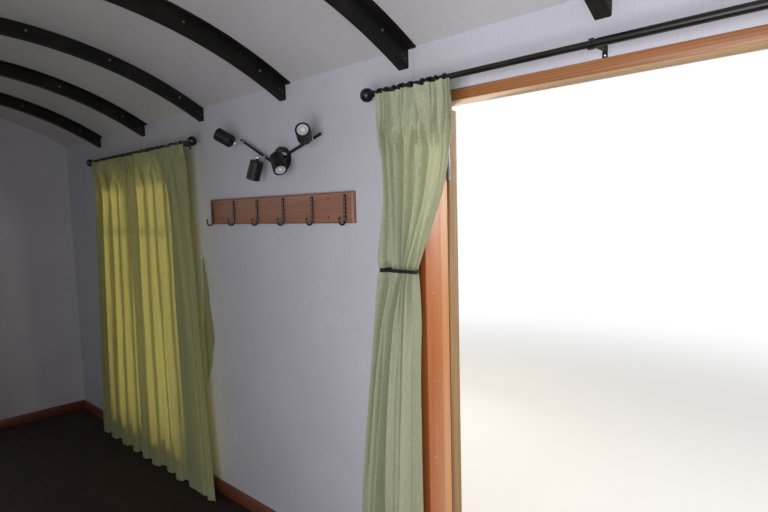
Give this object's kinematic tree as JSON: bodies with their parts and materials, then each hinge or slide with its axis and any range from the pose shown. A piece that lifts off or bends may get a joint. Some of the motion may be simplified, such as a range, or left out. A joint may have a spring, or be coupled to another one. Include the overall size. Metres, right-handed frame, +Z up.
{
  "type": "railway carriage cabin side section",
  "caption": "Side of a railway carriage cabin cut at its centre line: wall with open double doorway and tall window, arched half roof on hoops, curtains, coat rail and spot lamps.",
  "frame": {"origin": "underside of the outer bearer, below the inner corner of the end wall and the side wall", "axes": "+X along the side wall away from the end wall, +Y outdoors through the doorway, +Z up"},
  "size_m": [5.84, 1.264, 2.6382],
  "materials": {
    "rough_timber": "sawn softwood",
    "dark_floor_boards": "dark stained boards",
    "stud_panel": "framed panel",
    "white_lining": "textured lining painted white",
    "outer_boarding": "stained softwood boarding",
    "roof_boards": "softwood boards",
    "roof_sheet": "coated sheet",
    "black_paint": "satin black paint on rolled steel",
    "stained_pine": "stained pine",
    "weathered_pine": "weathered pine",
    "hinge_steel": "zinc plated",
    "window_glass": "clear",
    "skirting_timber": "red brown varnish",
    "rail_timber": "oiled softwood",
    "black_metal": "satin black",
    "plated_stem": "bright plating",
    "green_cloth": "slub weave cotton and linen"
  },
  "bodies": {
    "cabin": {"outer_bearer": "rough_timber", "centre_bearer": "rough_timber", "floor_joists": "rough_timber", "floor_boards": "dark_floor_boards", "side_wall_core": "stud_panel", "side_wall_lining": "white_lining", "side_wall_boarding": "outer_boarding", "cantrail": "rough_timber", "end_wall_core": "stud_panel", "end_wall_lining": "white_lining", "end_wall_boarding": "outer_boarding", "corner_board": "outer_boarding", "ceiling_lining": "white_lining", "roof_core": "roof_boards", "roof_skin": "roof_sheet", "hoop_1": "black_paint", "hoop_2": "black_paint", "hoop_3": "black_paint", "hoop_4": "black_paint", "hoop_5": "black_paint", "hoop_6": "black_paint", "hoop_7": "black_paint", "hoop_8": "black_paint", "door_jamb_left": "stained_pine", "door_jamb_right": "stained_pine", "door_head": "stained_pine", "door_sill": "stained_pine", "hinge_butts_left": "hinge_steel", "hinge_butts_right": "hinge_steel", "window_posts": "stained_pine", "window_rails": "stained_pine", "window_sashes": "stained_pine", "window_glass": "window_glass", "skirting": "skirting_timber", "coat_rail": "rail_timber", "coat_hooks": "black_metal", "spot_bar": "black_metal", "spot_stems": "plated_stem", "door_pole_inner": "black_metal", "door_pole_outer": "black_metal", "door_pole_brackets": "black_metal", "door_pole_rings": "black_metal", "window_pole": "black_metal", "window_pole_brackets": "black_metal", "window_pole_rings": "black_metal", "door_curtain_left": "green_cloth", "door_curtain_right": "green_cloth", "window_curtain": "green_cloth", "door_tiebacks": "black_metal", "strap_hook": "plated_stem", "window_strap": "green_cloth"},
    "left_leaf": {"door_leaf_left": "weathered_pine", "hinge_flaps_left": "hinge_steel"},
    "right_leaf": {"door_leaf_right": "weathered_pine", "hinge_flaps_right": "hinge_steel"},
    "spot_1": {"spot_head_1": "black_metal"},
    "spot_2": {"spot_head_2": "black_metal"},
    "spot_3": {"spot_head_3": "black_metal"},
    "spot_4": {"spot_head_4": "black_metal"}
  },
  "joints": [
    {"name": "left_leaf_hinge", "type": "hinge", "parent": "cabin", "child": "left_leaf", "pos_m": [3.5515, 0.157, 1.154], "axis": [0, 0, 1], "range_deg": [-180, 0]},
    {"name": "right_leaf_hinge", "type": "hinge", "parent": "cabin", "child": "right_leaf", "pos_m": [4.8485, 0.157, 1.154], "axis": [0, 0, 1], "range_deg": [0, 180]},
    {"name": "spot_1_tilt", "type": "hinge", "parent": "cabin", "child": "spot_1", "pos_m": [2.5, -0.077, 2.068], "axis": [0.6309, -0.1997, 0.7497], "range_deg": [-5, 50]},
    {"name": "spot_2_tilt", "type": "hinge", "parent": "cabin", "child": "spot_2", "pos_m": [2.709, -0.097, 1.984], "axis": [-0.7936, -0.4917, 0.3583], "range_deg": [-12, 50]},
    {"name": "spot_3_tilt", "type": "hinge", "parent": "cabin", "child": "spot_3", "pos_m": [2.826, -0.088, 1.992], "axis": [-0.7678, 0.0452, -0.639], "range_deg": [-20, 45]},
    {"name": "spot_4_tilt", "type": "hinge", "parent": "cabin", "child": "spot_4", "pos_m": [3.007, -0.07, 2.031], "axis": [0.5241, 0.1641, -0.8357], "range_deg": [-35, 45]}
  ]
}
